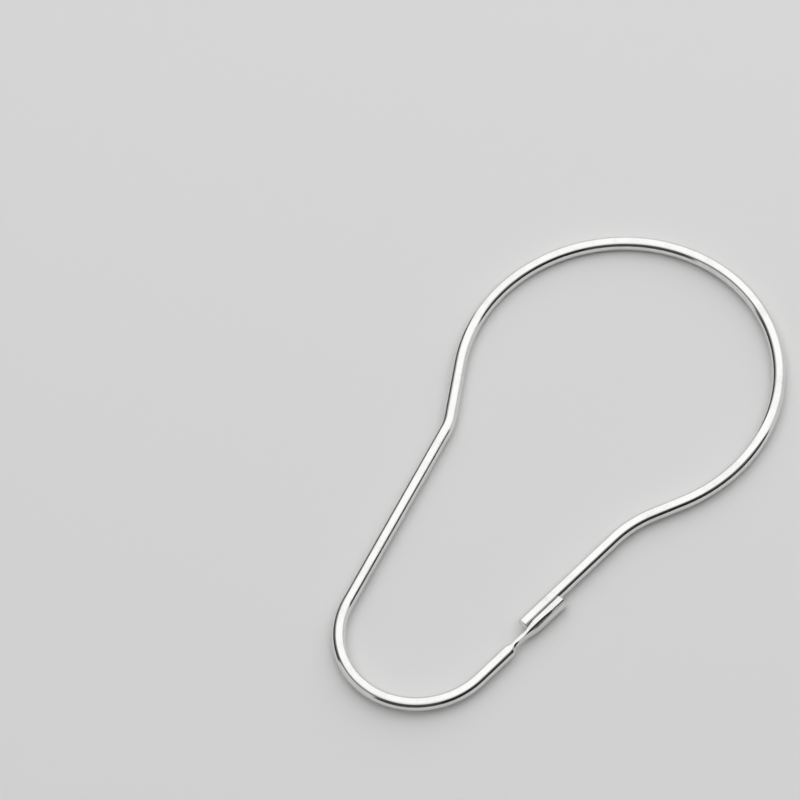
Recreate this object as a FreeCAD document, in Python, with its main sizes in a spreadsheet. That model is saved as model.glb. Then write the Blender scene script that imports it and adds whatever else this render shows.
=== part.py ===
import FreeCAD, Part
import math
import os
import Sketcher

# Curtain hook: one length of round spring wire, bent in one plane.
# Origin: centre of the big loop, in the plane that the wire's centreline lies in.
# +X runs along the hook to the small loop, +Y is the side of the catch, +Z is up as the hook lies.
# Lengths are in millimetres and angles in degrees.

SIZES = [
    ("wire_diameter", 1.6, "round spring wire, over its plating"),
    ("rail_loop_radius", 18.6, "big loop that goes round the rail, at the wire's centreline"),
    ("eyelet_loop_radius", 9.3, "small loop that goes through the curtain, at the wire's centreline"),
    ("loop_spacing", 39.8, "between the centres of the two loops"),
    ("far_shoulder_gap", 1.8, "corner of the unbroken side, beyond the big loop's circle"),
    ("far_shoulder_out", 13.05, "the same corner, out from the middle line"),
    ("far_shoulder_bend", 6.0, "radius of that corner's bend"),
    ("catch_shoulder_gap", 1.1, "corner of the side that opens, beyond the big loop's circle"),
    ("catch_shoulder_bend", 13.5, "radius of that corner's bend"),
    ("leg_angle", 9.3, "slope of the plain leg and of the catch towards the middle line"),
    ("plain_tip_station", 8.3, "plain end, along the leg from the small loop's centre"),
    ("plain_tip_chamfer", 0.07, "chamfer round the plain end"),
    ("taper_start_station", 4.6, "where the round wire starts to narrow"),
    ("neck_start_station", 6.15, "where the neck is at its narrowest"),
    ("neck_length", 0.75, "length over which it stays so"),
    ("neck_thickness", 0.68, "neck, across, in the plane of the hook"),
    ("neck_height", 1.46, "neck, at right angles to the plane of the hook"),
    ("neck_edge_radius", 0.28, "rounding of the neck's upper and lower edges"),
    ("catch_start_station", 9.4, "where the catch has its full section"),
    ("blend_hold", 0.35, "length over which a blend keeps the section that it starts or ends with"),
    ("catch_end_station", 13.7, "end of the catch"),
    ("catch_wall", 0.77, "catch, between the bottom of its trough and its back"),
    ("back_setback", 0.09, "catch's back, inside the line of the round wire's outer side"),
    ("back_crown", 0.3, "how much larger the back's radius is than the wire's"),
    ("trough_ease", 0.1, "how much larger the trough's radius is than the wire's"),
    ("lip_radius", 0.25, "rounding of the two lips of the catch"),
    ("seat_clearance", 0.3, "gap between the plain leg and the bottom of the trough"),
    ("flat_angle", 43.0, "slope of the two long flats on the catch's back, from the plane of the hook"),
    ("flat_depth", 0.022, "how deep a flat goes below the round back at its middle"),
    ("flat_start_station", 7.8, "where the flats run out towards the neck"),
    ("flat_end_station", 12.2, "where they run out towards the catch's end"),
    ("end_rounding", 1.0, "rounding of the catch's end"),
    ("end_flat", 0.3, "radius of the flat left at the middle of that end"),
]

# A closed section of four arcs is split here, as seen from the wire's centre.
ROUND_SPLIT_ANGLE = 50.0

# How far the outer side of a cut stands clear of the catch.
CUTTER_CLEARANCE = 0.5

HOOK = "hook_wire"

# The numbers that constraints use for a curve's points, the X axis and the origin.
START, END, CENTRE = range(1, 4)
ORIGIN, AXIS_H = (-1, START), -1


def make_sheet(doc):
    """Put the driving sizes in named cells."""
    sheet = doc.addObject("Spreadsheet::Sheet", "sizes")
    for row, (alias, value, note) in enumerate(SIZES, start=1):
        sheet.set("A%d" % row, alias)
        sheet.set("B%d" % row, str(value))
        sheet.set("C%d" % row, note)
        sheet.setAlias("B%d" % row, alias)
    doc.recompute()
    return sheet


def size(sheet, alias):
    """The number in a named cell."""
    return float(sheet.get(alias))


def plane(body, role):
    """One of the hook's own origin planes."""
    for feature in body.Origin.OriginFeatures:
        if feature.Role == role:
            return feature
    raise ValueError("the body has no " + role)


def bind(target, expressions):
    """Tie properties or named constraints to formulas of the driving sizes."""
    for name, formula in expressions.items():
        target.setExpression(name, formula)


def constrain(sketch, kind, *arguments, name=None):
    """Add one constraint, and name it if a size drives it."""
    index = sketch.addConstraint(Sketcher.Constraint(kind, *arguments))
    if name:
        sketch.renameConstraint(index, name)


def polar(centre, radius, degrees):
    """Point on a circle."""
    angle = math.radians(degrees)
    x = centre[0] + radius * math.cos(angle)
    y = centre[1] + radius * math.sin(angle)
    return (x, y)


def arc(centre, radius, first, last):
    """Arc that turns anticlockwise from the first to the last direction, in degrees."""
    circle = Part.Circle(FreeCAD.Vector(centre[0], centre[1], 0), FreeCAD.Vector(0, 0, 1), radius)
    return Part.ArcOfCircle(circle, math.radians(first), math.radians(last))


def segment(start, end):
    """Straight line between two points."""
    return Part.LineSegment(FreeCAD.Vector(start[0], start[1], 0), FreeCAD.Vector(end[0], end[1], 0))


# Derived sizes, as formulas of the driving ones.
WIRE_RADIUS = "(sizes.wire_diameter / 2)"
BACK_RADIUS = "(sizes.wire_diameter / 2 + sizes.back_crown)"
TROUGH_RADIUS = "(sizes.wire_diameter / 2 + sizes.trough_ease)"
BACK_OUT = "(sizes.wire_diameter / 2 - sizes.back_setback)"
FLAT_ANGLE = "(sizes.flat_angle * 1 deg)"
FLAT_CREST = "(%s + (%s - %s) * cos(%s))" % (BACK_RADIUS, BACK_OUT, BACK_RADIUS, FLAT_ANGLE)
FLAT_RADIUS = (
    "(((sizes.flat_end_station - sizes.flat_start_station) ^ 2 / 4 + sizes.flat_depth ^ 2)"
    " / (2 * sizes.flat_depth))")
LEG_SPACING = "(sizes.seat_clearance + sizes.back_setback + sizes.catch_wall)"
LEG_ANGLE = "(sizes.leg_angle * 1 deg)"


class Layout:
    """The driving and derived sizes as numbers, for the first positions of points."""

    def __init__(self, sheet):
        for alias, _, _ in SIZES:
            setattr(self, alias, size(sheet, alias))
        self.wire_radius = self.wire_diameter / 2
        self.back_radius = self.wire_radius + self.back_crown
        self.trough_radius = self.wire_radius + self.trough_ease
        self.back_out = self.wire_radius - self.back_setback
        self.leg_spacing = self.seat_clearance + self.back_setback + self.catch_wall
        inward = self.back_out - self.back_radius
        self.flat_crest = self.back_radius + inward * math.cos(math.radians(self.flat_angle))
        half = (self.flat_end_station - self.flat_start_station) / 2
        self.flat_radius = (half ** 2 + self.flat_depth ** 2) / (2 * self.flat_depth)

    def leg_point(self, station, out):
        """Point at a station along the leg, and so far out from the small loop's centre."""
        angle = math.radians(self.leg_angle)
        x = self.loop_spacing - station * math.cos(angle) + out * math.sin(angle)
        y = station * math.sin(angle) + out * math.cos(angle)
        return (x, y)


def tangent_direction(point, centre, radius, side):
    """Direction, in degrees, of the place where a line from a point touches a circle."""
    dx = point[0] - centre[0]
    dy = point[1] - centre[1]
    return math.degrees(math.atan2(dy, dx) + side * math.acos(radius / math.hypot(dx, dy)))


def bend(before, corner, after, radius):
    """Arc that rounds a corner to the right: its centre, and where it meets the two runs."""
    back = ((before[0] - corner[0]), (before[1] - corner[1]))
    ahead = ((after[0] - corner[0]), (after[1] - corner[1]))
    back_length = math.hypot(*back)
    ahead_length = math.hypot(*ahead)
    back = (back[0] / back_length, back[1] / back_length)
    ahead = (ahead[0] / ahead_length, ahead[1] / ahead_length)
    half = math.acos(back[0] * ahead[0] + back[1] * ahead[1]) / 2
    reach = radius / math.tan(half)
    first = (corner[0] + back[0] * reach, corner[1] + back[1] * reach)
    last = (corner[0] + ahead[0] * reach, corner[1] + ahead[1] * reach)
    middle = (back[0] + ahead[0], back[1] + ahead[1])
    scale = radius / math.sin(half) / math.hypot(*middle)
    centre = (corner[0] + middle[0] * scale, corner[1] + middle[1] * scale)
    return centre, first, last


def nearest_crossing(start, degrees, radius):
    """Where a line from outside first meets a circle about the origin, if it leaves in this direction."""
    step = polar((0.0, 0.0), 1.0, degrees)
    along = start[0] * step[0] + start[1] * step[1]
    beside = start[0] * step[1] - start[1] * step[0]
    travel = -along - math.sqrt(radius ** 2 - beside ** 2)
    return (start[0] + step[0] * travel, start[1] + step[1] * travel)


def direction(centre, point):
    """Direction of a point from a centre, in degrees."""
    return math.degrees(math.atan2(point[1] - centre[1], point[0] - centre[0]))


def station_x(station, out):
    """Formula for the X of a point on the leg."""
    return "sizes.loop_spacing - %s * cos(%s) + %s * sin(%s)" % (station, LEG_ANGLE, out, LEG_ANGLE)


def wire_path(body, lay):
    """Centreline of the round wire, from the plain end round both loops to the neck."""
    sketch = body.newObject("Sketcher::SketchObject", "wire_path")
    sketch.AttachmentSupport = (plane(body, "XY_Plane"), [""])
    sketch.MapMode = "FlatFace"

    big = (0.0, 0.0)
    small = (lay.loop_spacing, 0.0)
    touch_small = 90.0 - lay.leg_angle

    # The side that opens: plain leg, soft bend, short run, big loop.
    tip = lay.leg_point(lay.plain_tip_station, lay.eyelet_loop_radius - lay.leg_spacing)
    corner_radius = lay.rail_loop_radius + lay.catch_shoulder_gap
    corner = nearest_crossing(tip, 180.0 - lay.leg_angle, corner_radius)
    touch_big = tangent_direction(corner, big, lay.rail_loop_radius, 1)
    on_big = polar(big, lay.rail_loop_radius, touch_big)
    centre, leg_end, run_start = bend(tip, corner, on_big, lay.catch_shoulder_bend)

    # The unbroken side, mirrored below the middle line: big loop, run, bend, far leg, small loop.
    far_corner_radius = lay.rail_loop_radius + lay.far_shoulder_gap
    far_corner_x = math.sqrt(far_corner_radius ** 2 - lay.far_shoulder_out ** 2)
    far_corner = (far_corner_x, -lay.far_shoulder_out)
    far_touch_big = tangent_direction(far_corner, big, lay.rail_loop_radius, -1)
    far_touch_small = tangent_direction(far_corner, small, lay.eyelet_loop_radius, 1)
    far_on_big = polar(big, lay.rail_loop_radius, far_touch_big)
    far_on_small = polar(small, lay.eyelet_loop_radius, far_touch_small)
    far_centre, far_run_end, far_leg_start = bend(
        far_on_big, far_corner, far_on_small, lay.far_shoulder_bend)

    on_small = polar(small, lay.eyelet_loop_radius, touch_small)
    taper = lay.leg_point(lay.taper_start_station, lay.eyelet_loop_radius)

    plain_leg = sketch.addGeometry(segment(tip, leg_end))
    shoulder = sketch.addGeometry(
        arc(centre, lay.catch_shoulder_bend, direction(centre, run_start), direction(centre, leg_end)))
    run = sketch.addGeometry(segment(run_start, on_big))
    big_loop = sketch.addGeometry(arc(big, lay.rail_loop_radius, touch_big, far_touch_big + 360.0))
    far_run = sketch.addGeometry(segment(far_on_big, far_run_end))
    far_shoulder = sketch.addGeometry(
        arc(far_centre, lay.far_shoulder_bend, direction(far_centre, far_leg_start),
            direction(far_centre, far_run_end)))
    far_leg = sketch.addGeometry(segment(far_leg_start, far_on_small))
    small_loop = sketch.addGeometry(arc(small, lay.eyelet_loop_radius, far_touch_small, touch_small))
    arm = sketch.addGeometry(segment(on_small, taper))

    # An arc turns anticlockwise from its start to its end, so the two shoulders run backwards.
    joints = [
        (plain_leg, END, shoulder, END),
        (shoulder, START, run, START),
        (run, END, big_loop, START),
        (big_loop, END, far_run, START),
        (far_run, END, far_shoulder, END),
        (far_shoulder, START, far_leg, START),
        (far_leg, END, small_loop, START),
        (small_loop, END, arm, START),
    ]
    for joint in joints:
        constrain(sketch, "Tangent", *joint)

    constrain(sketch, "Coincident", big_loop, CENTRE, *ORIGIN)
    constrain(sketch, "Radius", big_loop, lay.rail_loop_radius, name="rail_loop_radius")
    constrain(sketch, "PointOnObject", small_loop, CENTRE, AXIS_H)
    constrain(sketch, "DistanceX", *ORIGIN, small_loop, CENTRE, lay.loop_spacing, name="loop_spacing")
    constrain(sketch, "Radius", small_loop, lay.eyelet_loop_radius, name="eyelet_loop_radius")
    constrain(sketch, "Radius", shoulder, lay.catch_shoulder_bend, name="catch_shoulder_bend")
    constrain(sketch, "Radius", far_shoulder, lay.far_shoulder_bend, name="far_shoulder_bend")

    # The corners that the bends round are points where the runs on both sides would meet.
    mark = sketch.addGeometry(Part.Point(FreeCAD.Vector(corner[0], corner[1], 0)), True)
    constrain(sketch, "PointOnObject", mark, START, plain_leg)
    constrain(sketch, "PointOnObject", mark, START, run)
    constrain(sketch, "Distance", *ORIGIN, mark, START, corner_radius, name="catch_shoulder_radius")
    far_mark = sketch.addGeometry(Part.Point(FreeCAD.Vector(far_corner[0], far_corner[1], 0)), True)
    constrain(sketch, "PointOnObject", far_mark, START, far_run)
    constrain(sketch, "PointOnObject", far_mark, START, far_leg)
    constrain(sketch, "Distance", *ORIGIN, far_mark, START, far_corner_radius, name="far_shoulder_radius")
    constrain(sketch, "DistanceY", far_mark, START, *ORIGIN, lay.far_shoulder_out, name="far_shoulder_out")

    # The arm's line sets the slope; the plain leg lies inside it, parallel to it, in the catch.
    constrain(sketch, "Angle", arm, math.radians(180.0 - lay.leg_angle), name="leg_slope")
    constrain(sketch, "Parallel", plain_leg, arm)
    constrain(sketch, "Distance", plain_leg, START, arm, lay.leg_spacing, name="leg_spacing")
    constrain(sketch, "DistanceX", *ORIGIN, arm, END, taper[0], name="taper_start_x")
    constrain(sketch, "DistanceX", *ORIGIN, plain_leg, START, tip[0], name="plain_tip_x")

    arm_out = "sizes.eyelet_loop_radius"
    plain_leg_out = "(%s - %s)" % (arm_out, LEG_SPACING)
    bind(sketch, {
        "Constraints.rail_loop_radius": "sizes.rail_loop_radius",
        "Constraints.loop_spacing": "sizes.loop_spacing",
        "Constraints.eyelet_loop_radius": "sizes.eyelet_loop_radius",
        "Constraints.catch_shoulder_bend": "sizes.catch_shoulder_bend",
        "Constraints.far_shoulder_bend": "sizes.far_shoulder_bend",
        "Constraints.catch_shoulder_radius": "sizes.rail_loop_radius + sizes.catch_shoulder_gap",
        "Constraints.far_shoulder_radius": "sizes.rail_loop_radius + sizes.far_shoulder_gap",
        "Constraints.far_shoulder_out": "sizes.far_shoulder_out",
        "Constraints.leg_slope": "180 deg - %s" % LEG_ANGLE,
        "Constraints.leg_spacing": LEG_SPACING,
        "Constraints.taper_start_x": station_x("sizes.taper_start_station", arm_out),
        "Constraints.plain_tip_x": station_x("sizes.plain_tip_station", plain_leg_out),
    })
    return sketch


def leg_frame(body):
    """Plane square to the leg, through the small loop's centre: X out from the leg, Y up."""
    frame = body.newObject("PartDesign::Plane", "leg_frame")
    frame.AttachmentSupport = (plane(body, "YZ_Plane"), [""])
    frame.MapMode = "FlatFace"
    turned = FreeCAD.Rotation(FreeCAD.Vector(0, 1, 0), 0)
    frame.AttachmentOffset = FreeCAD.Placement(FreeCAD.Vector(0, 0, 0), turned)
    bind(frame, {
        "AttachmentOffset.Base.z": "sizes.loop_spacing",
        "AttachmentOffset.Rotation.Axis.y": "1",
        "AttachmentOffset.Rotation.Angle": "0 deg - %s" % LEG_ANGLE,
    })
    return frame


def station_sketch(body, frame, name, station):
    """Section plane square to the leg at a station, with its origin on the arm's centreline."""
    sketch = body.newObject("Sketcher::SketchObject", name)
    sketch.AttachmentSupport = (frame, [""])
    sketch.MapMode = "FlatFace"
    bind(sketch, {
        "AttachmentOffset.Base.x": "sizes.eyelet_loop_radius",
        "AttachmentOffset.Base.z": "0 - %s" % station,
    })
    return sketch


def round_section(body, frame, name, station, lay):
    """The round wire's section in four arcs, so that it blends with the pressed ones."""
    sketch = station_sketch(body, frame, name, station)
    radius = lay.wire_radius
    split = ROUND_SPLIT_ANGLE
    arcs = [
        sketch.addGeometry(arc((0, 0), radius, -split, split)),
        sketch.addGeometry(arc((0, 0), radius, split, 180 - split)),
        sketch.addGeometry(arc((0, 0), radius, 180 - split, 180 + split)),
        sketch.addGeometry(arc((0, 0), radius, 180 + split, 360 - split)),
    ]
    back, top, inner, bottom = arcs
    for piece in arcs:
        constrain(sketch, "Coincident", piece, CENTRE, *ORIGIN)
    constrain(sketch, "Radius", back, radius, name="wire_radius")
    height = 2 * radius * math.sin(math.radians(split))
    constrain(sketch, "DistanceY", back, START, back, END, height, name="split_height")
    constrain(sketch, "Vertical", back, START, back, END)
    constrain(sketch, "Coincident", back, END, top, START)
    constrain(sketch, "Horizontal", top, START, top, END)
    constrain(sketch, "Coincident", top, END, inner, START)
    constrain(sketch, "Vertical", inner, START, inner, END)
    constrain(sketch, "Coincident", inner, END, bottom, START)
    constrain(sketch, "Vertical", bottom, END, back, START)
    bind(sketch, {
        "Constraints.wire_radius": WIRE_RADIUS,
        "Constraints.split_height": "sizes.wire_diameter * sin(%s deg)" % split,
    })
    return sketch


def pressed_section(body, frame, name, station, shape, formulas):
    """A pressed section of four tangent arcs: back, upper edge, inner face and lower edge.

    shape gives the first positions: the radii of the back, the inner face and the edges, and how far
    out the centres of the back and the inner face lie. A hollow inner face is the catch's trough.
    """
    sketch = station_sketch(body, frame, name, station)
    hollow = shape["hollow"]
    back_centre = (shape["back_x"], 0.0)
    inner_centre = (shape["inner_x"], 0.0)
    edge = shape["edge_radius"]
    to_back = shape["back_radius"] - edge
    to_inner = shape["inner_radius"] + edge if hollow else shape["inner_radius"] - edge
    apart = back_centre[0] - inner_centre[0]
    edge_x = inner_centre[0] + (to_inner ** 2 - to_back ** 2 + apart ** 2) / (2 * apart)
    edge_y = math.sqrt(to_back ** 2 - (edge_x - back_centre[0]) ** 2)
    upper = (edge_x, edge_y)
    lower = (edge_x, -edge_y)
    on_back = direction(back_centre, upper)
    on_inner = direction(inner_centre, upper)

    back = sketch.addGeometry(arc(back_centre, shape["back_radius"], -on_back, on_back))
    if hollow:
        top = sketch.addGeometry(arc(upper, edge, on_back, on_inner + 180))
        inner = sketch.addGeometry(arc(inner_centre, shape["inner_radius"], -on_inner, on_inner))
        bottom = sketch.addGeometry(arc(lower, edge, 180 - on_inner, 360 - on_back))
        constrain(sketch, "Tangent", back, END, top, START)
        constrain(sketch, "Tangent", top, END, inner, END)
        constrain(sketch, "Tangent", inner, START, bottom, START)
        constrain(sketch, "Tangent", bottom, END, back, START)
    else:
        top = sketch.addGeometry(arc(upper, edge, on_back, on_inner))
        inner = sketch.addGeometry(arc(inner_centre, shape["inner_radius"], on_inner, 360 - on_inner))
        bottom = sketch.addGeometry(arc(lower, edge, 360 - on_inner, 360 - on_back))
        constrain(sketch, "Tangent", back, END, top, START)
        constrain(sketch, "Tangent", top, END, inner, START)
        constrain(sketch, "Tangent", inner, END, bottom, START)
        constrain(sketch, "Tangent", bottom, END, back, START)

    constrain(sketch, "PointOnObject", back, CENTRE, AXIS_H)
    constrain(sketch, "PointOnObject", inner, CENTRE, AXIS_H)
    constrain(sketch, "Radius", back, shape["back_radius"], name="back_radius")
    constrain(sketch, "Radius", inner, shape["inner_radius"], name="inner_radius")
    constrain(sketch, "Radius", top, edge, name="edge_radius")
    constrain(sketch, "Equal", top, bottom)
    constrain(sketch, "DistanceX", back, CENTRE, *ORIGIN, -back_centre[0], name="back_inward")
    if hollow:
        constrain(sketch, "DistanceX", inner, CENTRE, *ORIGIN, -inner_centre[0], name="inner_offset")
    else:
        constrain(sketch, "DistanceX", *ORIGIN, inner, CENTRE, inner_centre[0], name="inner_offset")
    bind(sketch, {"Constraints." + key: formula for key, formula in formulas.items()})
    return sketch


def neck_section(body, frame, name, station, lay):
    """Narrowest section of the neck: an upright oval of four arcs."""
    half = lay.neck_thickness / 2
    rise = lay.neck_height / 2 - lay.neck_edge_radius
    edge = lay.neck_edge_radius
    radius = (half ** 2 + rise ** 2 - edge ** 2) / (2 * (half - edge))
    shape = {
        "hollow": False,
        "back_radius": radius,
        "back_x": half - radius,
        "inner_radius": radius,
        "inner_x": radius - half,
        "edge_radius": edge,
    }
    half_formula = "(sizes.neck_thickness / 2)"
    rise_formula = "(sizes.neck_height / 2 - sizes.neck_edge_radius)"
    edge_formula = "sizes.neck_edge_radius"
    oval_formula = "((%s ^ 2 + %s ^ 2 - %s ^ 2) / (2 * (%s - %s)))" % (
        half_formula, rise_formula, edge_formula, half_formula, edge_formula)
    formulas = {
        "back_radius": oval_formula,
        "inner_radius": oval_formula,
        "edge_radius": edge_formula,
        "back_inward": "%s - %s" % (oval_formula, half_formula),
        "inner_offset": "%s - %s" % (oval_formula, half_formula),
    }
    return pressed_section(body, frame, name, station, shape, formulas)


def catch_section(body, frame, name, station, lay):
    """Full section of the catch: a round back, a trough for the plain leg and two rounded lips."""
    shape = {
        "hollow": True,
        "back_radius": lay.back_radius,
        "back_x": lay.back_out - lay.back_radius,
        "inner_radius": lay.trough_radius,
        "inner_x": lay.back_out - lay.catch_wall - lay.trough_radius,
        "edge_radius": lay.lip_radius,
    }
    formulas = {
        "back_radius": BACK_RADIUS,
        "inner_radius": TROUGH_RADIUS,
        "edge_radius": "sizes.lip_radius",
        "back_inward": "%s - %s" % (BACK_RADIUS, BACK_OUT),
        "inner_offset": "%s + sizes.catch_wall - %s" % (TROUGH_RADIUS, BACK_OUT),
    }
    return pressed_section(body, frame, name, station, shape, formulas)


def blend(body, name, sections):
    """Smooth blend through sections; two near each end keep that end straight along the leg."""
    body.Document.recompute()
    loft = body.newObject("PartDesign::AdditiveLoft", name)
    loft.Profile = (sections[0], [""])
    loft.Sections = [(section, [""]) for section in sections[1:]]
    loft.Ruled = False
    body.Document.recompute()
    return loft


def extend(body, name, section, length):
    """Straight stretch of one section along the leg, away from the small loop."""
    pad = body.newObject("PartDesign::Pad", name)
    pad.Profile = section
    pad.Reversed = True
    bind(pad, {"Length": length})
    body.Document.recompute()
    return pad


def catch(body, frame, lay):
    """The pressed end: taper from the round wire to the neck, opening out, channel, rounded end."""
    start = "sizes.taper_start_station"
    neck = "sizes.neck_start_station"
    neck_end = "(sizes.neck_start_station + sizes.neck_length)"
    full = "sizes.catch_start_station"
    hold = "sizes.blend_hold"

    neck_start = neck_section(body, frame, "neck_section", neck, lay)
    blend(body, "taper", [
        round_section(body, frame, "round_section", start, lay),
        round_section(body, frame, "round_section_held", "(%s + %s)" % (start, hold), lay),
        neck_section(body, frame, "neck_section_before", "(%s - %s)" % (neck, hold), lay),
        neck_start,
    ])
    extend(body, "neck", neck_start, "sizes.neck_length")

    channel_start = catch_section(body, frame, "channel_section", full, lay)
    blend(body, "opening_out", [
        neck_section(body, frame, "neck_section_end", neck_end, lay),
        neck_section(body, frame, "neck_section_after", "(%s + %s)" % (neck_end, hold), lay),
        catch_section(body, frame, "channel_section_before", "(%s - %s)" % (full, hold), lay),
        channel_start,
    ])
    extend(body, "channel", channel_start, "sizes.catch_end_station - sizes.catch_start_station")
    back_flat(body, frame, "upper_flat", 1, lay)
    back_flat(body, frame, "lower_flat", -1, lay)
    round_end(body, lay)


def back_flat(body, frame, name, side, lay):
    """Long leaf-shaped flat on one side of the catch's back, as a pad of large radius presses it."""
    tilted = body.newObject("PartDesign::Plane", name + "_frame")
    tilted.AttachmentSupport = (frame, [""])
    tilted.MapMode = "FlatFace"
    turned = FreeCAD.Rotation(FreeCAD.Vector(0, 0, 1), 0)
    tilted.AttachmentOffset = FreeCAD.Placement(FreeCAD.Vector(0, 0, 0), turned)
    bind(tilted, {
        "AttachmentOffset.Base.x": "sizes.eyelet_loop_radius",
        "AttachmentOffset.Rotation.Axis.z": "1",
        "AttachmentOffset.Rotation.Angle": "%d * %s" % (side, FLAT_ANGLE),
    })

    # In this plane X is the height above the arm's centreline and Y runs back along the leg.
    sketch = body.newObject("Sketcher::SketchObject", name + "_profile")
    sketch.AttachmentSupport = (tilted, [""])
    sketch.MapMode = "FlatFace"
    upright = FreeCAD.Rotation(FreeCAD.Vector(1, 0, 0), 90)
    sketch.AttachmentOffset = FreeCAD.Placement(FreeCAD.Vector(0, 0, 0), upright)
    start = lay.flat_start_station
    end = lay.flat_end_station
    crest = lay.flat_crest
    clear = crest + CUTTER_CLEARANCE
    centre = (crest - lay.flat_depth + lay.flat_radius, -(start + end) / 2)
    spread = math.degrees(math.asin((end - start) / 2 / lay.flat_radius))
    pad = sketch.addGeometry(arc(centre, lay.flat_radius, 180 - spread, 180 + spread))
    far_side = sketch.addGeometry(segment((crest, -end), (clear, -end)))
    outer = sketch.addGeometry(segment((clear, -end), (clear, -start)))
    near_side = sketch.addGeometry(segment((clear, -start), (crest, -start)))
    corners = [
        (pad, END, far_side, START),
        (far_side, END, outer, START),
        (outer, END, near_side, START),
        (near_side, END, pad, START),
    ]
    for corner in corners:
        constrain(sketch, "Coincident", *corner)
    constrain(sketch, "Horizontal", far_side)
    constrain(sketch, "Vertical", outer)
    constrain(sketch, "Horizontal", near_side)
    constrain(sketch, "Vertical", pad, START, pad, END)
    constrain(sketch, "Radius", pad, lay.flat_radius, name="flat_radius")
    constrain(sketch, "DistanceX", *ORIGIN, pad, START, crest, name="flat_crest")
    constrain(sketch, "DistanceY", pad, START, *ORIGIN, start, name="flat_start_station")
    constrain(sketch, "DistanceY", pad, END, *ORIGIN, end, name="flat_end_station")
    constrain(sketch, "DistanceX", far_side, START, far_side, END, CUTTER_CLEARANCE)
    bind(sketch, {
        "Constraints.flat_radius": FLAT_RADIUS,
        "Constraints.flat_crest": FLAT_CREST,
        "Constraints.flat_start_station": "sizes.flat_start_station",
        "Constraints.flat_end_station": "sizes.flat_end_station",
    })
    body.Document.recompute()
    uncut = body.Shape.Volume
    pocket = body.newObject("PartDesign::Pocket", name)
    pocket.Profile = sketch
    pocket.Midplane = True
    bind(pocket, {"Length": "sizes.wire_diameter"})
    body.Document.recompute()
    if not body.Shape.Volume < uncut:
        raise ValueError("%s cuts nothing" % name)


def round_end(body, lay):
    """Turned cut that rounds the catch's end, lips and back alike."""
    sketch = body.newObject("Sketcher::SketchObject", "end_rounding_profile")
    sketch.AttachmentSupport = (plane(body, "XY_Plane"), [""])
    sketch.MapMode = "FlatFace"
    turned = FreeCAD.Rotation(FreeCAD.Vector(0, 0, 1), 0)
    sketch.AttachmentOffset = FreeCAD.Placement(FreeCAD.Vector(0, 0, 0), turned)
    bind(sketch, {
        "AttachmentOffset.Base.x": "sizes.loop_spacing + sizes.eyelet_loop_radius * sin(%s)" % LEG_ANGLE,
        "AttachmentOffset.Base.y": "sizes.eyelet_loop_radius * cos(%s)" % LEG_ANGLE,
        "AttachmentOffset.Rotation.Axis.z": "1",
        "AttachmentOffset.Rotation.Angle": "180 deg - %s" % LEG_ANGLE,
    })
    end = lay.catch_end_station
    flat = lay.end_flat
    rounding = lay.end_rounding
    outer = flat + rounding
    beyond = end + CUTTER_CLEARANCE
    centre = (end - rounding, flat)
    dome = sketch.addGeometry(arc(centre, rounding, 0, 90))
    side = sketch.addGeometry(segment((centre[0], outer), (beyond, outer)))
    back = sketch.addGeometry(segment((beyond, outer), (beyond, flat)))
    face = sketch.addGeometry(segment((beyond, flat), (end, flat)))
    corners = [
        (dome, END, side, START),
        (side, END, back, START),
        (back, END, face, START),
        (face, END, dome, START),
    ]
    for corner in corners:
        constrain(sketch, "Coincident", *corner)
    constrain(sketch, "Horizontal", side)
    constrain(sketch, "Vertical", back)
    constrain(sketch, "Horizontal", face)
    constrain(sketch, "Horizontal", dome, CENTRE, dome, START)
    constrain(sketch, "Vertical", dome, CENTRE, dome, END)
    constrain(sketch, "Radius", dome, rounding, name="end_rounding")
    constrain(sketch, "DistanceX", *ORIGIN, dome, START, end, name="catch_end_station")
    constrain(sketch, "DistanceY", *ORIGIN, dome, START, flat, name="end_flat")
    constrain(sketch, "DistanceX", face, END, face, START, CUTTER_CLEARANCE)
    bind(sketch, {
        "Constraints.end_rounding": "sizes.end_rounding",
        "Constraints.catch_end_station": "sizes.catch_end_station",
        "Constraints.end_flat": "sizes.end_flat",
    })
    body.Document.recompute()
    uncut = body.Shape.Volume
    groove = body.newObject("PartDesign::Groove", "end_rounding")
    groove.Profile = sketch
    groove.ReferenceAxis = (sketch, ["H_Axis"])
    groove.Angle = 360.0
    body.Document.recompute()
    if not body.Shape.Volume < uncut:
        raise ValueError("the end rounding cuts nothing")


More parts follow.
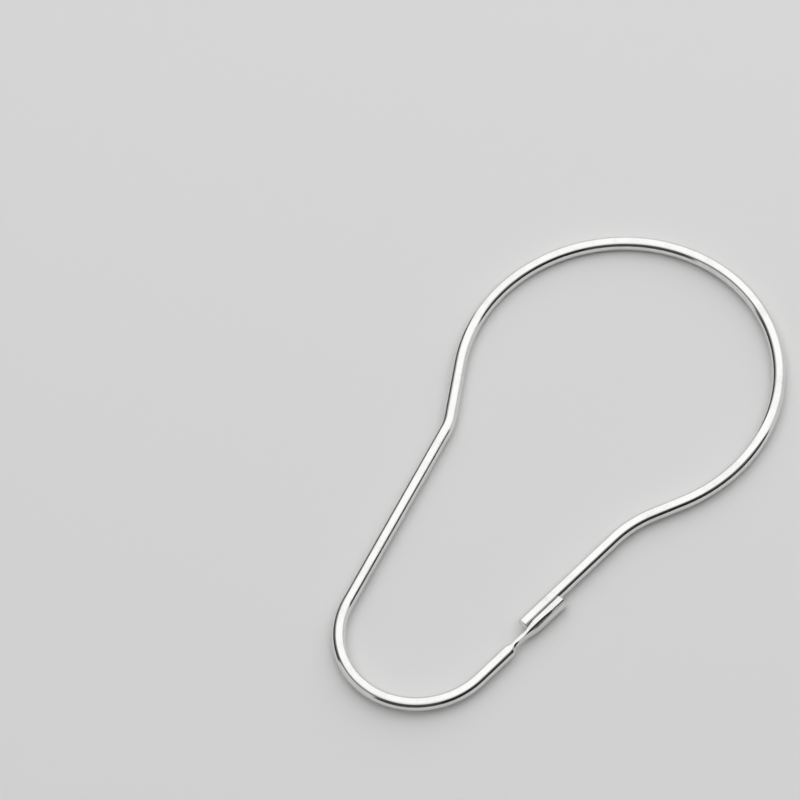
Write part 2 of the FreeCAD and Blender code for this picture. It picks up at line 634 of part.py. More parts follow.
def round_wire(body, frame, path, lay):
    """The round wire, swept along its path, with a chamfer round its plain end."""
    profile = station_sketch(body, frame, "wire_section", "sizes.plain_tip_station")
    circle = Part.Circle(FreeCAD.Vector(-lay.leg_spacing, 0, 0), FreeCAD.Vector(0, 0, 1), lay.wire_radius)
    ring = profile.addGeometry(circle)
    constrain(profile, "PointOnObject", ring, CENTRE, AXIS_H)
    constrain(profile, "DistanceX", ring, CENTRE, *ORIGIN, lay.leg_spacing, name="leg_spacing")
    constrain(profile, "Radius", ring, lay.wire_radius, name="wire_radius")
    bind(profile, {"Constraints.leg_spacing": LEG_SPACING, "Constraints.wire_radius": WIRE_RADIUS})
    body.Document.recompute()
    pipe = body.newObject("PartDesign::AdditivePipe", "round_wire")
    pipe.Profile = (profile, [""])
    pipe.Spine = (path, [""])
    body.Document.recompute()

    tip = FreeCAD.Vector(*lay.leg_point(lay.plain_tip_station, lay.eyelet_loop_radius - lay.leg_spacing), 0)
    nearby = lay.wire_radius / 10
    circles = [
        ("Edge%d" % number, edge.Curve)
        for number, edge in enumerate(pipe.Shape.Edges, start=1)
        if isinstance(edge.Curve, Part.Circle)
    ]
    rims = [name for name, circle in circles if circle.Center.distanceToPoint(tip) < nearby]
    if len(rims) != 1:
        raise ValueError("the plain end has %d rims, not one" % len(rims))
    chamfer = body.newObject("PartDesign::Chamfer", "plain_tip_chamfer")
    chamfer.Base = (pipe, rims)
    bind(chamfer, {"Size": "sizes.plain_tip_chamfer"})
    body.Document.recompute()
    return chamfer


def check(doc, body):
    """Stop if a feature failed, or if the hook isn't one sound solid."""
    for item in doc.Objects:
        if "Invalid" in item.State or "Error" in item.State:
            raise ValueError("%s failed: %s" % (item.Name, item.State))
    shape = body.Shape
    if shape.isNull() or not shape.isValid() or len(shape.Solids) != 1:
        raise ValueError("the hook isn't one valid solid")


def build():
    """Make the document and the hook's body."""
    doc = FreeCAD.newDocument("curtain_hook")
    sheet = make_sheet(doc)
    lay = Layout(sheet)
    body = doc.addObject("PartDesign::Body", HOOK)
    body.Label = HOOK
    frame = leg_frame(body)
    catch(body, frame, lay)
    path = wire_path(body, lay)
    round_wire(body, frame, path, lay)
    doc.recompute()
    check(doc, body)
    return doc, body


doc, body = build()
os.makedirs("parts", exist_ok=True)
body.Shape.exportStep("parts/%s.step" % body.Label)
bounds = body.Shape.optimalBoundingBox()
print("%s: %.1f x %.1f x %.1f mm, %.1f mm3" % (
    body.Label, bounds.XLength, bounds.YLength, bounds.ZLength, body.Shape.Volume))
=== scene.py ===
import math

import bpy
from bpy.props import FloatProperty, FloatVectorProperty, PointerProperty
from mathutils import Matrix, Quaternion, Vector


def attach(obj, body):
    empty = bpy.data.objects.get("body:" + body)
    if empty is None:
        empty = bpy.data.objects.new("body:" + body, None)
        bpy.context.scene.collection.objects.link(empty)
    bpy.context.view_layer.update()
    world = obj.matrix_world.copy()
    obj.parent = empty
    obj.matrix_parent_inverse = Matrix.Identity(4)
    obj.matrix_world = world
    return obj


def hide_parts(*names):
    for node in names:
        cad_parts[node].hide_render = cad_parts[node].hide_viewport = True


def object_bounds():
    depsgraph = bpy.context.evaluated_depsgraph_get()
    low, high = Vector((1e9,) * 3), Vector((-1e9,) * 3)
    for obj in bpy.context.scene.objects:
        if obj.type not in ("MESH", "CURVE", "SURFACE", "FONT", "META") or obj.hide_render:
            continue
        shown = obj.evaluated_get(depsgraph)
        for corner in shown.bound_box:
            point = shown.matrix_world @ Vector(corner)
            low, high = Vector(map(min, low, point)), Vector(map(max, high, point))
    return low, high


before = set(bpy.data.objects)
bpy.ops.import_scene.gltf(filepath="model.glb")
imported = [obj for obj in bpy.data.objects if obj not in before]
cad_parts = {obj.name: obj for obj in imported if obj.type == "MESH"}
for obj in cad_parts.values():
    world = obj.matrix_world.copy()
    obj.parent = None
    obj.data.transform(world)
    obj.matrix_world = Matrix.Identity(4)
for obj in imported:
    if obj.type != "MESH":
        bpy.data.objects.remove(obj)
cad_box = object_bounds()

bl_info = {
    "name": "Curtain Hook",
    "version": (1, 0, 0),
    "blender": (4, 5, 0),
    "location": "3D View > Sidebar > Curtain Hook",
    "description": "A pear-shaped curtain hook of plated spring wire, with a pressed catch",
    "category": "Add Mesh",
}

# The CAD model's only node, and the body that it rides on.
CAD_NODE = "hook_wire"
BODY = "root"

# Points round one ring of the skin, by the four parts of its section: lower edge, back, upper edge
# and inner side.
EDGE_POINTS = 18
BACK_POINTS = 72
INNER_POINTS = 24
OUTER_POINTS = EDGE_POINTS + BACK_POINTS + EDGE_POINTS
RING_POINTS = OUTER_POINTS + INNER_POINTS

# How finely rings follow one another: in metres on straight wire and on the pressed end, in radians
# on a bend, and in rings on the rounding of the catch's end.
STRAIGHT_STEP = 0.0015
PRESSED_STEP = 0.00005
BEND_STEP = math.radians(2.0)
DOME_STEPS = 24

# Places of the rings on each softened edge of the plain end, as shares of its curve, and how far in
# the outline runs that these edges are softened on, in chamfers.
EDGE_PLACES = (0.0, 0.25, 0.5, 0.75, 1.0)
TIP_REACH = 4

# Half the spread of the round wire's back, seen from its centre.
ROUND_SPLIT = math.radians(61.0)

# Direction of the neck's ridge from its centre, and how far beyond the ridges on its inner side the
# points of its two edges run.
NECK_RIDGE_TURN = math.radians(66.0)
NECK_INNER_MARGIN = math.radians(10.0)

# Where the ridge lies on half of a section's back, as a share of its points.
RIDGE_SHARE = 0.694

# How much of the trough's painted shade and rougher finish each point of a section takes: all of it on
# the inner side, none on the back, and a change from one to the other over the inner half of each lip.
LIP_FADE = [max(0.0, 1.0 - 2 * index / EDGE_POINTS) for index in range(EDGE_POINTS)]
HOLLOW = LIP_FADE + [0.0] * BACK_POINTS + LIP_FADE[::-1] + [1.0] * INNER_POINTS

# How many times finer the outline is before the rounding of the end is cut from it.
FINE = 6

# How deep a point is pressed where a flat starts, as a share of the flat's depth there, and where it
# is matt in full, as a share of the flat's greatest depth.
FLAT_TOUCH = 0.1
FLAT_FULL = 0.25

# Power that makes the trough's painted shade and rougher finish come on later than its shape.
HOLLOW_DELAY = 3

# Sizes of the uneven patterns on the plating, in repeats for each metre.
LINE_SCALE = 9000.0
PATCH_SCALE = 420.0
SPECK_SCALE = 5200.0
WAVE_SCALE = 260.0
DENT_SCALE = 1500.0
GRAIN_SCALE = 7000.0

# How a pattern is scaled along the wire, out and up, so that it is drawn out along the wire.
LONG_LINES = (0.02, 1.0, 1.0)
SHORT_LINES = (0.12, 1.7, 1.7)
DENT_STRETCH = (0.7, 1.0, 1.0)
GRAIN_STRETCH = (0.45, 1.0, 1.0)

# Share of the long lines in the height of all drawn lines. The short ones have the rest.
LONG_LINE_SHARE = 0.6

# Strengths of a pattern at which it starts to dull the plating and at which it dulls it in full, and
# how much of a dull patch is left between its specks.
DULL_LINES = (0.56, 0.74)
DULL_PATCHES = (0.45, 0.75)
DULL_SPECKS = (0.35, 0.65)
BETWEEN_SPECKS = 0.4

# How much the drawn lines and the press dull the plating, beside handling, and how much dulling
# there has to be for the full dull colour and for the full dull roughness.
LINE_DULLING = 0.35
PRESS_DULLING = 0.3
COLOUR_DULLED = 1.6
ROUGHNESS_DULLED = 1.3

# Finish of the set.
FLOOR_ROUGHNESS = 0.75
CARD_ROUGHNESS = 1.0
SET_SPECULAR = 0.2

# Width of the camera's sensor in its own millimetres, and how many times nearer and further than the
# hook the camera still sees.
SENSOR_WIDTH = 36.0
CLIP_RATIO = 100

MM = 0.001

# Cards round the set: directions that each one spans, from the X axis, and heights that it spans as
# seen from the middle of the set, all in degrees, and its shade.
CARDS = [
    ("card_beside_camera", -15.0, 50.0, 0.0, 50.0, 0.10),
    ("card_behind_camera", 50.0, 126.0, 0.0, 50.0, 0.02),
    ("card_opposite", 250.0, 300.0, 0.0, 46.0, 0.06),
    ("card_hanging", 300.0, 345.0, 28.0, 48.0, 0.25),
]
CARD_STEP = 4.0

# The softbox's layers: how far each one leans from straight above and the angle from its middle to
# its edge, seen from the hook in degrees, and its share of the light.
SOFTBOX_LAYERS = [
    (31.0, 49.0, 0.40),
    (23.5, 56.5, 0.32),
    (16.0, 64.0, 0.28),
]


def length(name, millimetres, description):
    """Property for a length, with its default given in millimetres."""
    return FloatProperty(
        name=name, description=description, default=millimetres * MM, min=0.0, unit="LENGTH", precision=5)


def angle(name, degrees, description):
    """Property for an angle, with its default given in degrees."""
    return FloatProperty(
        name=name, description=description, default=math.radians(degrees), subtype="ANGLE")


def share(name, value, description):
    """Property for a plain number from nought to one."""
    return FloatProperty(
        name=name, description=description, default=value, min=0.0, max=1.0, precision=3)


def colour(name, value, description):
    """Property for a colour."""
    return FloatVectorProperty(
        name=name, description=description, default=value, min=0.0, max=1.0, size=3,
        subtype="COLOR")


class WireSizes(bpy.types.PropertyGroup):
    """The hook's wire and the two loops that it is bent into."""

    wire_diameter: length("Wire", 1.6, "Diameter of the round wire over its plating")
    rail_loop_radius: length("Rail loop", 18.6, "Radius of the large loop at the wire's centreline")
    eyelet_loop_radius: length("Eyelet loop", 9.3, "Radius of the small loop at the wire's centreline")
    loop_spacing: length("Loop spacing", 39.8, "Distance between the centres of the two loops")
    far_shoulder_gap: length("Far shoulder", 1.8, "Unbroken side's corner, beyond the loop's circle")
    far_shoulder_out: length("Far shoulder out", 13.05, "The same corner, out from the middle line")
    far_shoulder_bend: length("Far bend", 6.0, "Radius of the bend at that corner")
    catch_shoulder_gap: length("Catch shoulder", 1.1, "Opening side's corner, beyond the loop's circle")
    catch_shoulder_bend: length("Catch bend", 13.5, "Radius of the bend at that corner")
    leg_angle: angle("Leg angle", 9.3, "Slope of the plain leg and the catch to the middle line")
    plain_tip_station: length("Plain end", 8.3, "Its place along the leg, from the small loop's centre")
    plain_tip_chamfer: length("Chamfer", 0.07, "Chamfer round the plain end")
    tip_softness: length("Edge softness", 0.03, "How round the plating leaves the chamfer's edges")


class CatchSizes(bpy.types.PropertyGroup):
    """The pressed end of the wire: taper, neck, opening out, channel and rounded end."""

    taper_start: length("Taper start", 4.6, "Where the round wire starts to narrow")
    neck_start: length("Neck start", 6.15, "Where the neck is at its narrowest")
    neck_length: length("Neck length", 0.75, "Length over which it stays so")
    neck_thickness: length("Neck thickness", 0.7, "Neck across, in the plane of the hook")
    neck_height: length("Neck height", 1.32, "Neck at right angles to the plane of the hook")
    neck_side_radius: length("Neck side", 1.6, "Crown of the neck's two sides")
    neck_top_radius: length("Neck top", 0.8, "Crown of the neck's upper and lower faces")
    corner_start: length("Corner flat start", 4.75, "Where the short flats on the taper's ridges start")
    corner_end: length("Corner flat end", 6.4, "Where they end, on the neck")
    corner_depth: length("Corner flat depth", 0.06, "How deep they go below the ridge at most")
    catch_start: length("Catch start", 9.4, "Where the catch has its full section")
    blend_hold: length("Blend hold", 0.35, "Length over which a blend keeps its end sections")
    catch_end: length("Catch end", 13.7, "End of the catch")
    catch_wall: length("Catch wall", 0.77, "Thickness from the bottom of the trough to the back")
    back_setback: length("Back setback", 0.09, "How far the back lies inside the wire's outer side")
    back_crown: length("Back crown", 0.3, "How much larger its radius is than the wire's")
    trough_ease: length("Trough ease", 0.1, "How much larger its radius is than the wire's")
    lip_radius: length("Lip", 0.25, "Rounding of the catch's two lips")
    seat_clearance: length("Seat clearance", 0.3, "Gap between the plain leg and the trough's bottom")
    side_slope: angle("Side slope", 32.0, "Slope up to which the catch's side is round")
    upper_slope: angle("Upper slope", 70.0, "Slope from which it is round again")
    ridge_softness: length("Ridge softness", 0.022, "How soft the ridge between the two is")
    flat_angle: angle("Flat angle", 43.0, "Way that the ridges' flats face, from the hook's plane")
    flat_depth: length("Flat depth", 0.045, "How deep a flat goes below the ridge at its middle")
    flat_softness: length("Flat softness", 0.006, "How soft the edges of a flat are")
    flat_edge: length("Flat edge", 0.2, "Width of the smooth strip along a flat's upper edge")
    flat_start: length("Flat start", 7.3, "Where the flats run out towards the neck")
    flat_end: length("Flat end", 11.7, "Where they run out towards the catch's end")
    end_rounding: length("End rounding", 1.0, "Rounding of the catch's end")
    end_flat: length("End flat", 0.3, "Radius of the flat left at the middle of that end")


class PlatingFinish(bpy.types.PropertyGroup):
    """The bright plating over the drawn wire."""

    plating_colour: colour("Plating", (0.84, 0.837, 0.828), "Colour of the plating")
    dull_colour: colour("Dull plating", (0.66, 0.65, 0.635), "Colour where handling has dulled it")
    gloss_roughness: share("Bright roughness", 0.12, "Roughness where the plating is brightest")
    dull_roughness: share("Dull roughness", 0.26, "Roughness where it is dull")
    line_height: length("Die lines", 0.0008, "Height of the fine lines along the drawn wire")
    wave_height: length("Unevenness", 0.004, "Height of the slow unevenness that bending leaves")
    flat_roughness: share("Flat roughness", 0.32, "Roughness of the catch's long flats")
    flat_grain: length("Flat grain", 0.012, "Height of the grain on those flats")
    press_height: length("Press marks", 0.012, "Height of the dents that the press leaves")
    # Painted shade: the trough's dark colour stands for the shade between the catch's channel and the
    # plain leg.
    hollow_colour: colour("Trough", (0.14, 0.135, 0.13), "Colour inside the trough, thinly plated")
    hollow_roughness: share("Trough roughness", 0.4, "Roughness inside the trough")


class StageSettings(bpy.types.PropertyGroup):
    """Floor, light and camera."""

    floor_colour: colour("Floor", (0.86, 0.86, 0.858), "Colour of the floor")
    floor_size: length("Floor size", 6000.0, "Side of the square floor")
    backdrop_colour: colour("Backdrop", (0.64, 0.64, 0.638), "Colour beyond the floor")
    card_distance: length("Card distance", 900.0, "From the middle of the set to the dark cards")
    lamp_power: FloatProperty(
        name="Softbox", description="Power of the softbox for each square metre", default=1.65,
        min=0.0, unit="POWER")
    lamp_distance: length("Softbox distance", 450.0, "From the middle of the set to the softbox")
    lamp_direction: angle("Softbox direction", 196.2, "Direction that it leans to, from the X axis")
    view_azimuth: angle("View azimuth", 134.3, "Direction of the camera round the hook")
    view_elevation: angle("View elevation", 57.8, "Height of the camera above the horizon")
    view_roll: angle("View roll", -10.5, "Turn of the picture about its own middle")
    view_distance: length("View distance", 651.3, "From the camera to the point that it looks at")
    view_aim: FloatVectorProperty(
        name="View aim", description="Point that the camera looks at", default=(0.0159, -0.0198, 0.0),
        size=3, subtype="TRANSLATION", unit="LENGTH")
    view_lens: FloatProperty(
        name="Lens", description="Focal length on a 36 mm wide sensor", default=252.66,
        min=1.0, unit="CAMERA")


class Derived:
    """Sizes that follow from the ones that a user sets."""

    def __init__(self, wire, catch):
        self.wire_radius = wire.wire_diameter / 2
        self.back_radius = self.wire_radius + catch.back_crown
        self.back_centre = self.wire_radius - catch.back_setback - self.back_radius
        self.trough_radius = self.wire_radius + catch.trough_ease
        self.trough_centre = self.wire_radius - catch.back_setback - catch.catch_wall - self.trough_radius
        self.leg_spacing = catch.seat_clearance + catch.back_setback + catch.catch_wall
        self.neck_end = catch.neck_start + catch.neck_length


def on_circle(centre, radius, turn):
    """Point on a circle in the hook's plane."""
    return centre + radius * Vector((math.cos(turn), math.sin(turn)))


def bearing(start, end):
    """Direction from one point to another."""
    return math.atan2(end.y - start.y, end.x - start.x)


def leg_point(wire, station, out):
    """Point at a station along the leg, and so far out from the small loop's centre."""
    along = Vector((-math.cos(wire.leg_angle), math.sin(wire.leg_angle)))
    outward = Vector((math.sin(wire.leg_angle), math.cos(wire.leg_angle)))
    return Vector((wire.loop_spacing, 0.0)) + station * along + out * outward


def touch(point, centre, radius, side):
    """Direction of the place where a line from a point touches a circle."""
    return bearing(centre, point) + side * math.acos(radius / (point - centre).length)


def first_crossing(start, turn, radius):
    """Where a line from outside first meets a circle about the origin."""
    step = Vector((math.cos(turn), math.sin(turn)))
    beside = start.x * step.y - start.y * step.x
    travel = -start.dot(step) - math.sqrt(radius ** 2 - beside ** 2)
    return start + step * travel


def straight(start, end):
    """Places along a straight run, each a point and the direction of travel, without its end."""
    count = max(2, math.ceil((end - start).length / STRAIGHT_STEP))
    heading = bearing(start, end)
    return [(start.lerp(end, index / count), heading) for index in range(count)]


def bend(centre, radius, first, last):
    """Places along a bend, which turns left if the last direction is larger, without its end."""
    count = max(4, math.ceil(abs(last - first) / BEND_STEP))
    quarter = math.copysign(math.pi / 2, last - first)
    turns = [first + (last - first) * index / count for index in range(count)]
    return [(on_circle(centre, radius, turn), turn + quarter) for turn in turns]


def corner_bend(before, corner, after, radius):
    """Ends and places of the bend to the right that rounds a corner."""
    back = (before - corner).normalized()
    ahead = (after - corner).normalized()
    half = back.angle(ahead) / 2
    entry = corner + back * radius / math.tan(half)
    leave = corner + ahead * radius / math.tan(half)
    centre = corner + (back + ahead).normalized() * radius / math.sin(half)
    first = bearing(centre, entry)
    return entry, leave, bend(centre, radius, first, first - (math.pi - 2 * half))


def wire_route(wire, catch, derived):
    """Places along the round wire's centreline, from the plain end round both loops to the taper."""
    big = Vector((0.0, 0.0))
    small = Vector((wire.loop_spacing, 0.0))
    tip = leg_point(wire, wire.plain_tip_station, wire.eyelet_loop_radius - derived.leg_spacing)

    catch_radius = wire.rail_loop_radius + wire.catch_shoulder_gap
    corner = first_crossing(tip, math.pi - wire.leg_angle, catch_radius)
    big_start = touch(corner, big, wire.rail_loop_radius, 1)
    on_big = on_circle(big, wire.rail_loop_radius, big_start)
    leg_end, run_start, shoulder = corner_bend(tip, corner, on_big, wire.catch_shoulder_bend)

    far_radius = wire.rail_loop_radius + wire.far_shoulder_gap
    far_along = math.sqrt(far_radius ** 2 - wire.far_shoulder_out ** 2)
    far_corner = Vector((far_along, -wire.far_shoulder_out))
    big_end = touch(far_corner, big, wire.rail_loop_radius, -1) + 2 * math.pi
    off_big = on_circle(big, wire.rail_loop_radius, big_end)
    small_start = touch(far_corner, small, wire.eyelet_loop_radius, 1)
    on_small = on_circle(small, wire.eyelet_loop_radius, small_start)
    far_run_end, far_leg_start, far_shoulder = corner_bend(
        off_big, far_corner, on_small, wire.far_shoulder_bend)

    small_end = math.pi / 2 - wire.leg_angle
    off_small = on_circle(small, wire.eyelet_loop_radius, small_end)
    taper = leg_point(wire, catch.taper_start, wire.eyelet_loop_radius)
    return (
        straight(tip, leg_end)
        + shoulder
        + straight(run_start, on_big)
        + bend(big, wire.rail_loop_radius, big_start, big_end)
        + straight(off_big, far_run_end)
        + far_shoulder
        + straight(far_leg_start, on_small)
        + bend(small, wire.eyelet_loop_radius, small_start, small_end)
        + straight(off_small, taper)
    )


def section_arc(centre, radius, first, last, count):
    """Points along one arc of a section, as out and up from the wire's centre, without its last."""
    turns = [first + (last - first) * index / count for index in range(count)]
    return [(centre[0] + radius * math.cos(turn), centre[1] + radius * math.sin(turn)) for turn in turns]


def round_outline(radius):
    """The round wire's section, from its lower edge round its back and upper edge to its inner side."""
    split = ROUND_SPLIT
    centre = (0.0, 0.0)
    return (
        section_arc(centre, radius, split - math.pi, -split, EDGE_POINTS)
        + section_arc(centre, radius, -split, split, BACK_POINTS)
        + section_arc(centre, radius, split, math.pi - split, EDGE_POINTS)
        + section_arc(centre, radius, math.pi - split, math.pi + split, INNER_POINTS)
    )


def edge_centre(back_centre, to_back, inner_centre, to_inner):
    """Centre of an upper edge's rounding, at set distances from the centres of the two faces."""
    apart = back_centre - inner_centre
    out = inner_centre + (to_inner ** 2 - to_back ** 2 + apart ** 2) / (2 * apart)
    return out, math.sqrt(to_back ** 2 - (out - back_centre) ** 2)


def soft_least(first, second, softness):
    """The lesser of two lengths, with a soft change from one to the other."""
    low, high = min(first, second), max(first, second)
    return low - softness * math.log1p(math.exp(-(high - low) / softness))


def reach_circle(centre, radius, turn):
    """How far a circle lies from the origin in one direction."""
    along = centre[0] * math.cos(turn) + centre[1] * math.sin(turn)
    return along + math.sqrt(radius ** 2 - centre[0] ** 2 - centre[1] ** 2 + along ** 2)


def neck_outline(catch):
    """The neck's section: two crowned sides and two crowned faces that meet in soft ridges."""
    side_radius, top_radius = catch.neck_side_radius, catch.neck_top_radius
    side = (catch.neck_thickness / 2 - side_radius, 0.0)
    top = (0.0, catch.neck_height / 2 - top_radius)

    def point(turn):
        fold = abs(math.remainder(turn, 2 * math.pi))
        fold = min(fold, math.pi - fold)
        on_side = reach_circle(side, side_radius, fold)
        on_top = reach_circle(top, top_radius, fold)
        reach = soft_least(on_side, on_top, catch.ridge_softness)
        return reach * math.cos(turn), reach * math.sin(turn)

    ridge = NECK_RIDGE_TURN
    ridge_point = BACK_POINTS / 2 * RIDGE_SHARE
    turns = []
    for index in range(BACK_POINTS):
        place = index - BACK_POINTS / 2
        beyond = max(0.0, abs(place) - ridge_point) / (BACK_POINTS / 2 - ridge_point)
        turn = ridge * min(1.0, abs(place) / ridge_point) + (math.pi / 2 - ridge) * beyond
        turns.append(math.copysign(turn, place))
    inner_end = math.pi - ridge + NECK_INNER_MARGIN
    edge_step = (inner_end - math.pi / 2) / EDGE_POINTS
    inner_step = 2 * (math.pi - inner_end) / INNER_POINTS
    low_edge = [-inner_end + edge_step * index for index in range(EDGE_POINTS)]
    high_edge = [math.pi / 2 + edge_step * index for index in range(EDGE_POINTS)]
    inner = [inner_end + inner_step * index for index in range(INNER_POINTS)]
    return [point(turn) for turn in low_edge + turns + high_edge + inner]


class ChannelOutline:
    """The catch's full section: a round back, two rounded lips and a trough for the plain leg."""

    def __init__(self, catch, derived):
        self.catch = catch
        self.derived = derived
        self.lip = catch.lip_radius
        to_back = derived.back_radius - self.lip
        to_trough = derived.trough_radius + self.lip
        self.centre = edge_centre(derived.back_centre, to_back, derived.trough_centre, to_trough)
        self.on_back = math.atan2(self.centre[1], self.centre[0] - derived.back_centre)
        self.on_trough = math.atan2(self.centre[1], self.centre[0] - derived.trough_centre)
        self.reach = math.hypot(*self.centre) + self.lip

    def back(self, count):
        """The back: round on its side and towards the lips, with a soft ridge between two faces."""
        radius = self.derived.back_radius
        points = []
        for index in range(count):
            turn = self.on_back * (2 * index / count - 1)
            on_side = radius / math.cos(max(0.0, abs(turn) - self.catch.side_slope))
            on_face = radius / math.cos(max(0.0, self.catch.upper_slope - abs(turn)))
            reach = soft_least(on_side, on_face, self.catch.ridge_softness)
            points.append((self.derived.back_centre + reach * math.cos(turn), reach * math.sin(turn)))
        return points

    def outer(self, finer=1):
        """Lower lip, back and upper lip."""
        low = (self.centre[0], -self.centre[1])
        edge = EDGE_POINTS * finer
        return (
            section_arc(low, self.lip, -math.pi - self.on_trough, -self.on_back, edge)
            + self.back(BACK_POINTS * finer)
            + section_arc(self.centre, self.lip, self.on_back, self.on_trough + math.pi, edge)
        )

    def trough(self, reach):
        """Inner side, as far as a circle of this reach about the wire's centre leaves it."""
        derived = self.derived
        offset = abs(derived.trough_centre)
        radius = derived.trough_radius
        cosine = (offset ** 2 + radius ** 2 - reach ** 2) / (2 * offset * radius)
        end = min(self.on_trough, math.acos(max(-1.0, min(1.0, cosine))))
        return section_arc((derived.trough_centre, 0.0), radius, end, -end, INNER_POINTS)

    def outline(self, reach):
        """Whole section, rounded off where it would reach further than this from the wire's centre."""
        if reach >= self.reach:
            return self.outer() + self.trough(self.reach)
        trough = self.trough(reach)
        corner = trough[0]
        limit = math.atan2(corner[1], corner[0])
        whole = self.outer(FINE) + [self.trough(self.reach)[0]]
        cut = []
        for out, up in whole:
            far = math.hypot(out, up)
            if far > reach:
                turn = max(-limit, min(limit, math.atan2(up, out)))
                out, up = reach * math.cos(turn), reach * math.sin(turn)
            cut.append((out, up))
        cut[-1] = corner
        cut[0] = (corner[0], -corner[1])
        return respace(cut, fractions(whole)[::FINE]) + trough


def fractions(points):
    """How far along a line of points each one lies, from nought to one."""
    run = [0.0]
    for before, after in zip(points, points[1:]):
        run.append(run[-1] + math.dist(before, after))
    return [value / run[-1] for value in run]


def respace(points, wanted):
    """Points at the wanted fractions along a line, without its last."""
    run = fractions(points)
    spaced = []
    index = 0
    for fraction in wanted[:-1]:
        while run[index + 1] < fraction:
            index += 1
        gap = run[index + 1] - run[index]
        part = (fraction - run[index]) / gap if gap else 0.0
        spaced.append(tuple(Vector(points[index]).lerp(Vector(points[index + 1]), part)))
    return spaced


def mix(first, second, weight):
    """Outline between two others."""
    return [
        (a[0] + (b[0] - a[0]) * weight, a[1] + (b[1] - a[1]) * weight)
        for a, b in zip(first, second)
    ]


def ease(value):
    """Nought to one with a level start and end."""
    value = max(0.0, min(1.0, value))
    return value * value * (3 - 2 * value)


def bowed_depth(station, start, end, deepest):
    """Depth of a flat along its length, nought at both ends and deepest at the middle."""
    half = (end - start) / 2
    return max(0.0, deepest * (1 - ((station - start) / half - 1) ** 2))


def press_flat(outline, depth, catch, softness):
    """The outline with a flat pressed into each ridge, and how much each point went in."""
    across = (math.cos(catch.flat_angle), math.sin(catch.flat_angle))
    rises = [out * across[0] + abs(up) * across[1] for out, up in outline]
    limit = max(rises) - depth
    overs = [rise - soft_least(rise, limit, softness) for rise in rises]
    pressed = [
        (out - over * across[0], up - math.copysign(over * across[1], up))
        for (out, up), over in zip(outline, overs)
    ]
    return pressed, overs


def press_flats(outline, station, catch):
    """The outline with its short and long flats, and how matt the long ones leave each point."""
    short = bowed_depth(station, catch.corner_start, catch.corner_end, catch.corner_depth)
    if short > 0.0:
        outline = press_flat(outline, short, catch, catch.flat_softness * short / catch.corner_depth)[0]
    depth = bowed_depth(station, catch.flat_start, catch.flat_end, catch.flat_depth)
    if depth <= 0.0:
        return outline, [0.0] * len(outline)
    pressed, overs = press_flat(outline, depth, catch, catch.flat_softness * depth / catch.flat_depth)
    along = (-math.sin(catch.flat_angle), math.cos(catch.flat_angle))
    sides = [out * along[0] + abs(up) * along[1] for out, up in outline]
    edge = max(side for side, over in zip(sides, overs) if over > depth * FLAT_TOUCH)
    # The strip along this edge stays bright for half its width, and turns matt over one more width.
    matt = [
        ease((edge - side) / catch.flat_edge - 0.5) * ease(over / (catch.flat_depth * FLAT_FULL))
        for side, over in zip(sides, overs)
    ]
    return pressed, matt


def steps(start, end, step):
    """Even values from a start up to an end, without the end."""
    count = max(1, math.ceil((end - start) / step))
    return [start + (end - start) * index / count for index in range(count)]


def pressed_stations(catch, derived, channel, wire_outline):
    """Rings of the pressed end: station, outline, how strongly pressed, and how far open as a trough."""
    neck = neck_outline(catch)
    full = channel.outline(channel.reach)
    hold = catch.blend_hold / 2
    rings = []
    for station in steps(catch.taper_start, catch.neck_start, PRESSED_STEP):
        span = catch.neck_start - catch.taper_start - 2 * hold
        weight = ease((station - catch.taper_start - hold) / span)
        rings.append((station, mix(wire_outline, neck, weight), weight, 0.0))
    for station in steps(catch.neck_start, derived.neck_end, PRESSED_STEP):
        rings.append((station, neck, 1.0, 0.0))
    for station in steps(derived.neck_end, catch.catch_start, PRESSED_STEP):
        span = catch.catch_start - derived.neck_end - 2 * hold
        weight = ease((station - derived.neck_end - hold) / span)
        rings.append((station, mix(neck, full, weight), 1.0, weight ** HOLLOW_DELAY))
    dome_start = catch.catch_end - catch.end_rounding
    for station in steps(catch.catch_start, dome_start, PRESSED_STEP):
        rings.append((station, full, 1.0, 1.0))
    for index in range(DOME_STEPS + 1):
        turn = math.pi / 2 * index / DOME_STEPS
        station = dome_start + catch.end_rounding * math.sin(turn)
        reach = catch.end_flat + catch.end_rounding * math.cos(turn)
        rings.append((station, channel.outline(reach), 1.0, math.cos(turn)))
    return rings


def tip_rings(wire, derived):
    """Rings of the plain end, each its distance from the end and its radius, with softened edges."""
    chamfer = wire.plain_tip_chamfer
    inner = derived.wire_radius - chamfer
    soft = wire.tip_softness
    radius = derived.wire_radius
    corners = [(0.0, 0.0), (0.0, inner), (chamfer, radius), (TIP_REACH * chamfer, radius)]
    rings = [(0.0, inner / 2)]
    for before, corner, after in zip(corners, corners[1:], corners[2:]):
        before, corner, after = Vector(before), Vector(corner), Vector(after)
        start = corner + (before - corner).normalized() * soft
        end = corner + (after - corner).normalized() * soft
        for part in EDGE_PLACES:
            place = start.lerp(corner, part).lerp(corner.lerp(end, part), part)
            rings.append((place.x, place.y))
    return rings


